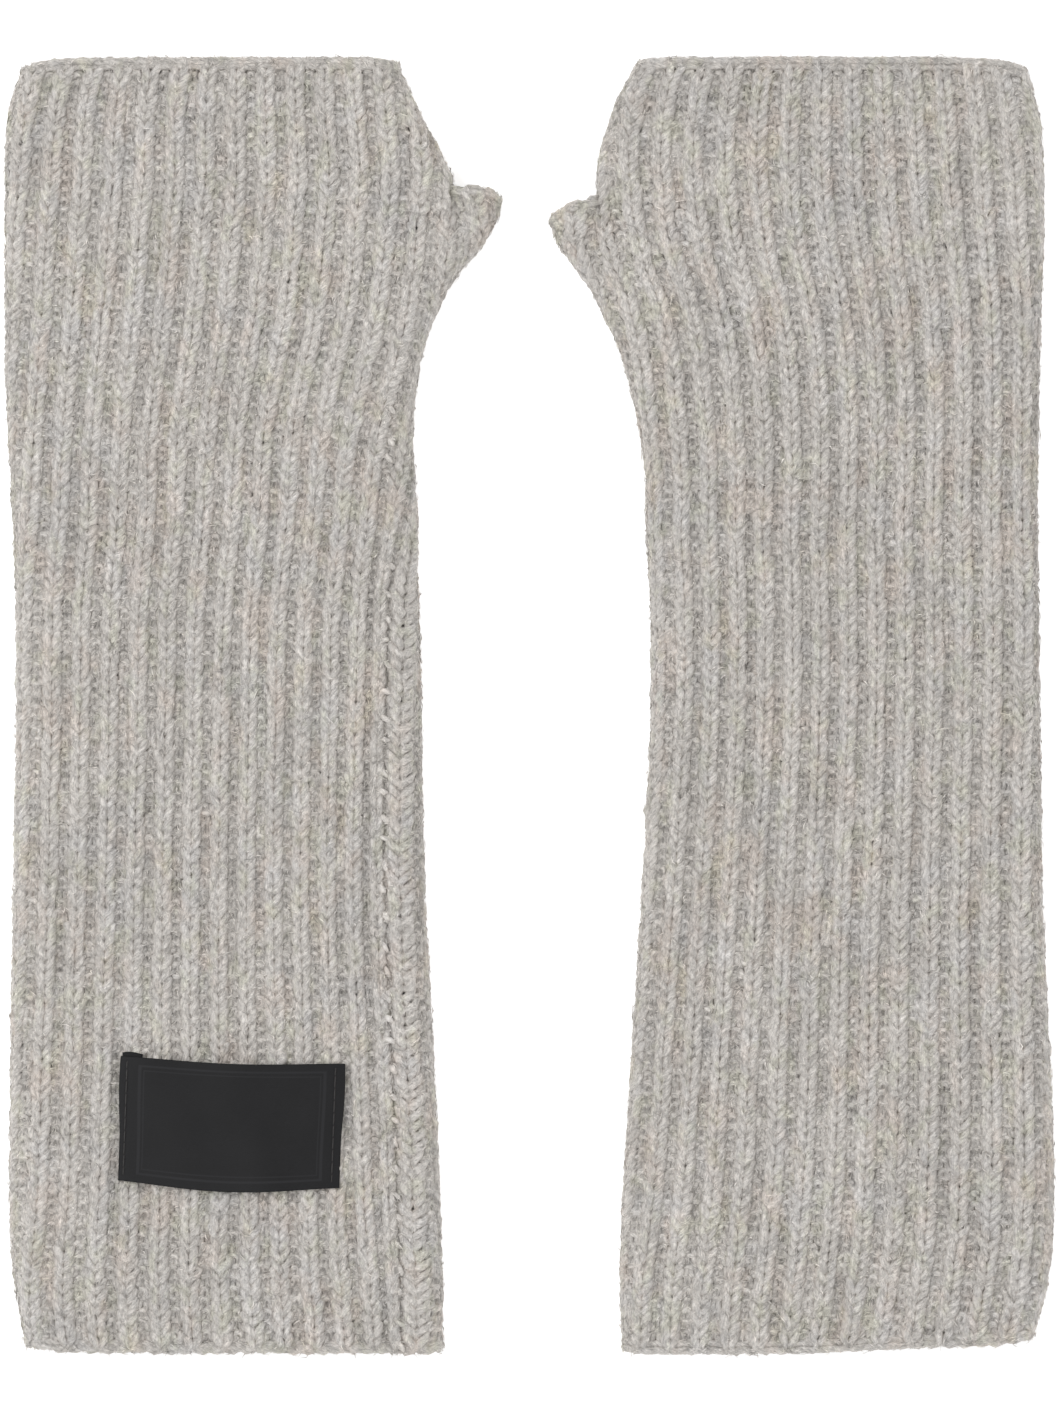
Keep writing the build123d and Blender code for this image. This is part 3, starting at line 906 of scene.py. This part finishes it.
def seam_stitches(sleeve, node):
    """The linking yarn at a seam: at each bar of the CAD node, one short stitch that dives into the knit."""
    strands = Strands()
    bars = islands_along_y(node)
    up = 1.0 if bars[0][2] > sleeve.top_z / 2 else -1.0
    share = np.linspace(-1, 1, 9)
    for bar in bars:
        slope = -math.radians(rng.normal(*SEAM_SLOPE))
        long = SEAM_STITCH / 2 * rng.uniform(0.7, 1.25)
        reach = share * long
        height = up * (SEAM_STANDS - SEAM_DIVES * share ** 4)
        path = np.stack([reach * math.cos(slope), reach * math.sin(slope), height], 1)
        path = path + bar + [rng.normal(0, 0.3), rng.normal(0, 0.7), 0]
        outward = np.tile([0.0, 0.0, up], (len(path), 1))
        swell = (1.25 - 0.55 * share ** 2) * rng.uniform(0.85, 1.25)
        strands.add(path, outward, False, swell, SEAM_YARN_RADIUS, SEAM_YARN_RADIUS)
    strands.add_fibres(len(bars) * SEAM_FIBRES)
    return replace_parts(add_piece(f"{node}_stitches", strands.mesh(node), SEAM_WOOL), node)


def build_seams(sleeve):
    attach(seam_stitches(sleeve, f"{sleeve.name}_forearm_seam_yarn"), f"{sleeve.name}_forearm")
    blend_wrist(seam_stitches(sleeve, f"{sleeve.name}_hand_seam_yarn"))
    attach(seam_stitches(sleeve, f"{sleeve.name}_upper_seam_yarn"), f"{sleeve.name}_hand")


# ---------------- labels

LABEL_TILT = math.radians(2.0)  # clockwise
LABEL_SIZE = (54.8, 30.6)
LABEL_SHIFT = (0.35, -0.75, 0.0)  # from the middle of its CAD box
LABEL_THICK = 0.4
LABEL_LIFT = 1.3  # how far its middle stands off the knit
LABEL_DIP = 1.0  # how far the middle of its top edge hangs
LABEL_BOW = 1.9  # how far the middle of its bottom edge bows out
LABEL_POINTS = (218, 122)  # along it and across it
LABEL_REST = 0.85  # how high its sewn ends lie above the knit
HEM_WIDE = 5.0  # the ends are folded under by this much
HEM_REST = 0.36
HEM_SHIFTS = {"left": 1.1, "right": -0.25}  # how far each folded end is out of line
THREAD_STITCH = 2.1
THREAD_RADIUS = 0.2
TAG_THICK = 0.25
TAG_HANGS = 0.45  # how far the care label hangs below its CAD box


def sheet(name, columns, rows, place, thick, material, slot, frame_line=None):
    """A closed sheet of cloth. place(a, b) gives the top side's points for a and b from -1 to 1."""
    a, b = np.meshgrid(np.linspace(-1, 1, columns), np.linspace(-1, 1, rows))
    top = place(a, b)
    low = top - np.array([0, 0, thick])
    points = np.concatenate([top.reshape(-1, 3), low.reshape(-1, 3)]) * MM
    index = np.arange(rows * columns).reshape(rows, columns)
    cells = np.stack([index[:-1, :-1], index[:-1, 1:], index[1:, 1:], index[1:, :-1]], -1).reshape(-1, 4)
    count = rows * columns
    border = np.concatenate([index[0, :-1], index[:-1, -1], index[-1, :0:-1], index[:0:-1, 0]])
    after = np.roll(border, -1)
    walls = np.stack([border, border + count, after + count, after], -1)
    faces = np.concatenate([cells, cells[:, ::-1] + count, walls])
    mesh = bpy.data.meshes.new(name)
    mesh.from_pydata(points.tolist(), [], faces.tolist())
    mesh.polygons.foreach_set("use_smooth", np.ones(len(faces), bool))
    if frame_line is not None:
        store(mesh, "frame_line", np.tile(frame_line(a, b).ravel(), 2))
    mesh.update()
    return add_piece(name, mesh, material)


def build_label():
    """The sewn label: its ends lie flat, and between them it stands off the knit, with wavy long edges."""
    low, high = node_box("sewn_label")
    centre = (low + high) / 2 + LABEL_SHIFT
    knit_top = node_box("left_forearm_knit")[1][2]
    wide, tall = LABEL_SIZE[0] / 2, LABEL_SIZE[1] / 2
    cosine, sine = math.cos(LABEL_TILT), math.sin(LABEL_TILT)
    turn = np.array([[cosine, -sine], [sine, cosine]])

    def laid(x, y, z):
        flat = np.stack([x, y], -1) @ turn
        return np.concatenate([flat + centre[:2], z[..., None]], -1)

    def face(a, b):
        hump = np.cos(a * math.pi / 2)
        y = b * tall - np.where(b > 0, LABEL_DIP * b, -LABEL_BOW * b) * hump ** 1.3
        ripple = 0.22 * np.sin(a * 5.2 + 0.6) * b ** 2 + 0.12 * np.sin(a * 9.0 + b * 2.0)
        z = knit_top + LABEL_REST + LABEL_LIFT * hump ** 0.7 * (0.75 + 0.25 * b ** 2) + ripple * hump ** 0.5
        x = a * wide + 0.35 * np.sin(b * 2.6) * np.sign(a) * np.abs(a) ** 4
        return laid(x, y, z)

    def woven_frame(a, b):
        """Two lines along the edges, the outer one broader."""
        inset = np.minimum((1 - np.abs(a)) * wide - HEM_WIDE * 0.6, (1 - np.abs(b)) * tall - 0.4)
        return ((np.abs(inset - 1.8) < 0.28) | (np.abs(inset - 2.9) < 0.16)).astype(float)

    satin_sheet = (LABEL_THICK, LABEL_SATIN, "label_satin")
    label = sheet("sewn_label_face", *LABEL_POINTS, face, *satin_sheet, woven_frame)
    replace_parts(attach(label, "left_forearm"), "sewn_label")

    for side, shift in HEM_SHIFTS.items():
        def hem(a, b, end=-1 if side == "left" else 1, shift=shift):
            x = end * (wide - 0.2 - (1 - a) / 2 * HEM_WIDE)
            y = b * (tall - 0.3) + shift + 0.25 * np.sin(a * 2 + 1)
            z = np.full(a.shape, knit_top + HEM_REST) + 0.1 * np.sin(b * 3.0)
            return laid(x, y, z)

        piece = sheet(f"sewn_label_hem_{side}", 12, 50, hem, *satin_sheet, lambda a, b: np.zeros(a.shape))
        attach(piece, "left_forearm")


def build_label_stitching():
    """Running stitches of black thread along both sewn ends."""
    share = np.linspace(-1, 1, 9)
    for side in ("left", "right"):
        node = f"label_stitching_{side}"
        strands = Strands()
        for middle in islands_along_y(node, 0.4):
            path = np.stack([share * 0.08, share * THREAD_STITCH / 2, 0.12 - 0.55 * share ** 4], 1) + middle
            outward = np.tile([0.0, 0.0, 1.0], (len(path), 1))
            strands.add(path, outward, False, 1.0, THREAD_RADIUS, THREAD_RADIUS)
        piece = add_piece(f"{node}_thread", strands.mesh(node), THREAD)
        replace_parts(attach(piece, "left_forearm"), node)


def build_care_label():
    """A small plain satin tag inside the left cuff."""
    low, high = node_box("care_label")
    centre, half = (low + high) / 2, (high - low) / 2

    def face(a, b):
        z = low[2] - TAG_HANGS + 0.12 * np.sin(a * 3 + 0.5) * (1 - b) + 0.08 * np.sin(b * 4)
        return np.stack([centre[0] + a * half[0], centre[1] + b * half[1], z], -1)

    piece = sheet("care_label_tag", 30, 46, face, TAG_THICK, CARE_SATIN, "care_satin")
    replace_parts(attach(piece, "left_forearm"), "care_label")


left = Sleeve("left", -1, **LEFT)
right = Sleeve("right", 1, **RIGHT)
for sleeve in (left, right):
    build_knit(sleeve)
    build_rims(sleeve)
    build_seams(sleeve)
build_label()
build_label_stitching()
build_care_label()


# ---------------- studio

VIEW_TALL = 347.6  # how much of the table the picture shows, from top to bottom
CAMERA_AT = (0.0002, -0.0002, 3.0)
LAMPS = (  # name, place, size and power
    ("key", (-0.9, 0.3, 1.6), 0.8, 11.5),
    ("fill", (1.2, -0.6, 1.4), 1.2, 4.4),
)
SKY_LIGHT = 0.73
TABLE_GLOW = 0.45  # keeps the table white


def studio():
    """A white table in soft even light, seen from straight above."""
    bpy.ops.mesh.primitive_plane_add(size=6.0, location=(0, 0, -0.0004))
    floor = bpy.context.object
    floor.name = "floor"
    material, _, bsdf = node_tree("white_table")
    set_inputs(bsdf, {"Base Color": (0.95, 0.95, 0.95, 1), "Roughness": 0.9})
    set_inputs(bsdf, {"Emission Color": (1, 1, 1, 1), "Emission Strength": TABLE_GLOW})
    floor.data.materials.append(material)

    world = bpy.data.worlds.new("studio")
    bpy.context.scene.world = world
    world.use_nodes = True
    set_inputs(world.node_tree.nodes["Background"], {"Color": (1, 1, 1, 1), "Strength": SKY_LIGHT})

    for name, place, size, power in LAMPS:
        light = bpy.data.lights.new(name, "AREA")
        light.size, light.energy = size, power
        lamp = bpy.data.objects.new(name, light)
        lamp.location = place
        lamp.rotation_euler = (-Vector(place)).to_track_quat("-Z", "Y").to_euler()
        bpy.context.scene.collection.objects.link(lamp)

    camera = bpy.data.objects.new("camera", bpy.data.cameras.new("camera"))
    camera.location = CAMERA_AT
    distance = CAMERA_AT[2] - left.top_z / 2 * MM
    camera.data.lens = camera.data.sensor_width * distance / (VIEW_TALL * MM)
    bpy.context.scene.collection.objects.link(camera)
    bpy.context.scene.camera = camera
    bpy.context.scene.view_settings.view_transform = "Standard"


studio()
